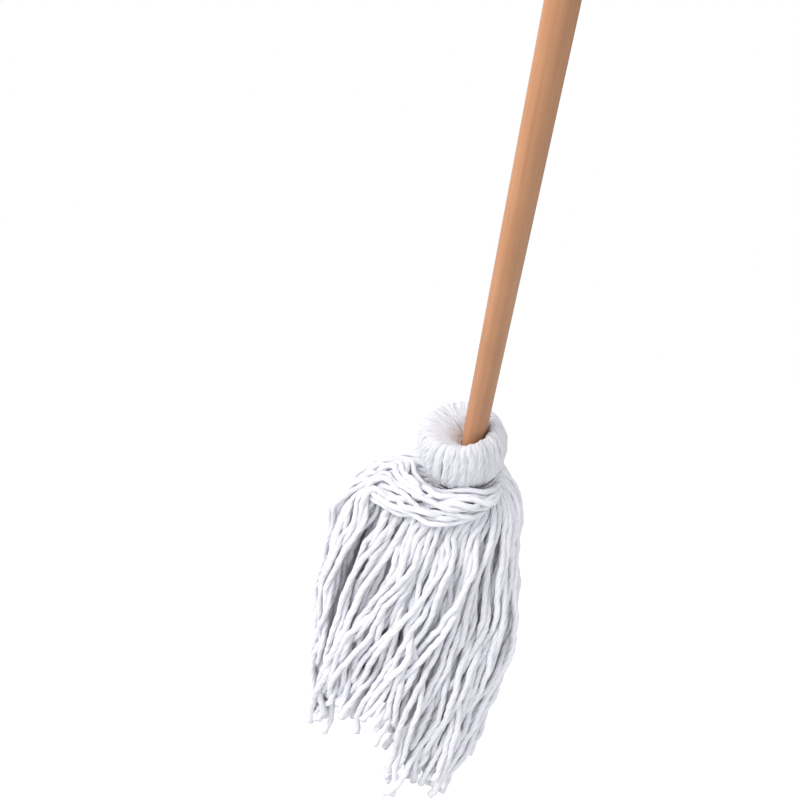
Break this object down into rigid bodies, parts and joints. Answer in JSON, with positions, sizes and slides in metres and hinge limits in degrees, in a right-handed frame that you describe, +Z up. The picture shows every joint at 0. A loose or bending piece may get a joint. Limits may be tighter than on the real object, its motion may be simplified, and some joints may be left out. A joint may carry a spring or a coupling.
{
  "type": "string mop",
  "caption": "String mop: a round wooden handle bound into a head of twisted white cotton yarn, turned over into a fat rolled collar and hanging in loose tufts.",
  "frame": {"origin": "on the handle's axis, just above the yarn collar, where the bare straight shank begins", "axes": "+Z up, against gravity; the handle leans forward towards -Y by 38 degrees; +X to the right seen from the front"},
  "size_m": [0.1979, 0.8151, 1.2785],
  "materials": {
    "wood": "plain sanded dowel, fine straight grain, thin clear sealer",
    "yarn": "loosely twisted bleached cotton, matt",
    "cord": "tight twisted cotton cord, matt",
    "wire": "galvanised, dull"
  },
  "bodies": {
    "handle_and_collar": {"handle": "wood", "yarn_sleeve": "yarn", "binding_wire": "wire", "binding_nails": "wire", "collar_right_back": "yarn", "collar_back_right": "yarn", "collar_back_left": "yarn", "collar_left_back": "yarn", "collar_left_front": "yarn", "collar_front_left": "yarn", "collar_front_right": "yarn", "collar_right_front": "yarn", "neck_cord": "cord", "neck_knot": "cord", "neck_yarn": "yarn", "sweep_hank": "yarn", "core_tuft": "yarn"},
    "tuft_right_back": {"tuft_right_back": "yarn"},
    "tuft_back_right": {"tuft_back_right": "yarn"},
    "tuft_back_left": {"tuft_back_left": "yarn"},
    "tuft_left_back": {"tuft_left_back": "yarn"},
    "tuft_left_front": {"tuft_left_front": "yarn"},
    "tuft_front_left": {"tuft_front_left": "yarn"},
    "tuft_front_right": {"tuft_front_right": "yarn"},
    "tuft_right_front": {"tuft_right_front": "yarn"}
  },
  "joints": [
    {"name": "right_back_swing", "type": "hinge", "parent": "handle_and_collar", "child": "tuft_right_back", "pos_m": [0.02013, 0.06585, -0.10093], "axis": [0.3827, -0.9239, 0], "range_deg": [0, 60]},
    {"name": "back_right_swing", "type": "hinge", "parent": "handle_and_collar", "child": "tuft_back_right", "pos_m": [-0.00179, 0.0812, -0.10093], "axis": [0.9239, -0.3827, 0], "range_deg": [0, 60]},
    {"name": "back_left_swing", "type": "hinge", "parent": "handle_and_collar", "child": "tuft_back_left", "pos_m": [-0.02674, 0.08248, -0.10093], "axis": [0.9239, 0.3827, 0], "range_deg": [0, 60]},
    {"name": "left_back_swing", "type": "hinge", "parent": "handle_and_collar", "child": "tuft_left_back", "pos_m": [-0.0512, 0.06713, -0.10093], "axis": [0.3827, 0.9239, 0], "range_deg": [0, 60]},
    {"name": "left_front_swing", "type": "hinge", "parent": "handle_and_collar", "child": "tuft_left_front", "pos_m": [-0.0512, 0.0363, -0.10093], "axis": [-0.3827, 0.9239, 0], "range_deg": [0, 60]},
    {"name": "front_left_swing", "type": "hinge", "parent": "handle_and_collar", "child": "tuft_front_left", "pos_m": [-0.02674, 0.02095, -0.10093], "axis": [-0.9239, 0.3827, 0], "range_deg": [0, 60]},
    {"name": "front_right_swing", "type": "hinge", "parent": "handle_and_collar", "child": "tuft_front_right", "pos_m": [-0.00179, 0.02223, -0.10093], "axis": [-0.9239, -0.3827, 0], "range_deg": [0, 60]},
    {"name": "right_front_swing", "type": "hinge", "parent": "handle_and_collar", "child": "tuft_right_front", "pos_m": [0.02013, 0.03758, -0.10093], "axis": [-0.3827, -0.9239, 0], "range_deg": [0, 60]}
  ]
}
